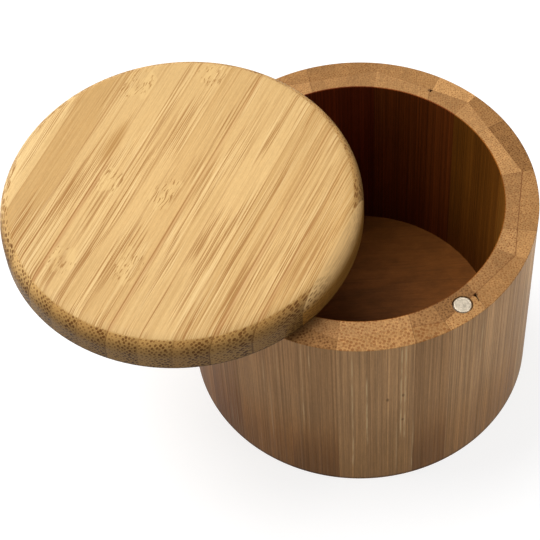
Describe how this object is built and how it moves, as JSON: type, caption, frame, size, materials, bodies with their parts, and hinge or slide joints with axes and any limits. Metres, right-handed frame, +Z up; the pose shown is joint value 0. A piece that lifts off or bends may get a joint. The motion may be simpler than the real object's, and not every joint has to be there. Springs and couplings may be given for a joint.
{
  "type": "salt box with swivelling lid",
  "caption": "Round bamboo salt box: staved cylindrical body and a thick round lid that swivels sideways on a steel pin, with a magnet catch.",
  "frame": {"origin": "centre of the flat underside of the body", "axes": "+Z up along the axis of the body; +Y from the axis towards the pivot pin; -Y towards the catch magnet, which sits 0.9 degrees off it"},
  "size_m": [0.1269, 0.1135, 0.0719],
  "materials": {
    "bamboo_wall": "sanded and oiled caramel bamboo, vertical grain",
    "bamboo_base": "sanded bamboo, level grain",
    "bamboo_lid": "sanded and oiled natural bamboo, grain along the strips",
    "nickel_plate": "satin nickel plating",
    "steel": "ground steel dowel"
  },
  "bodies": {
    "body": {"stave_01_inner": "bamboo_wall", "stave_01_outer": "bamboo_wall", "stave_02_inner": "bamboo_wall", "stave_02_outer": "bamboo_wall", "stave_03_inner": "bamboo_wall", "stave_03_outer": "bamboo_wall", "stave_04_inner": "bamboo_wall", "stave_04_outer": "bamboo_wall", "stave_05_inner": "bamboo_wall", "stave_05_outer": "bamboo_wall", "stave_06_inner": "bamboo_wall", "stave_06_outer": "bamboo_wall", "stave_07_inner": "bamboo_wall", "stave_07_outer": "bamboo_wall", "stave_08_inner": "bamboo_wall", "stave_08_outer": "bamboo_wall", "stave_09_inner": "bamboo_wall", "stave_09_outer": "bamboo_wall", "stave_10_inner": "bamboo_wall", "stave_10_outer": "bamboo_wall", "base_disc": "bamboo_base", "rim_magnet": "nickel_plate", "pivot_pin": "steel"},
    "lid": {"lid": "bamboo_lid", "lid_magnet": "nickel_plate"}
  },
  "joints": [
    {"name": "lid_swivel", "type": "hinge", "parent": "body", "child": "lid", "pos_m": [0, 0.04075, 0.0629], "axis": [0, 0, 1], "continuous": true}
  ]
}
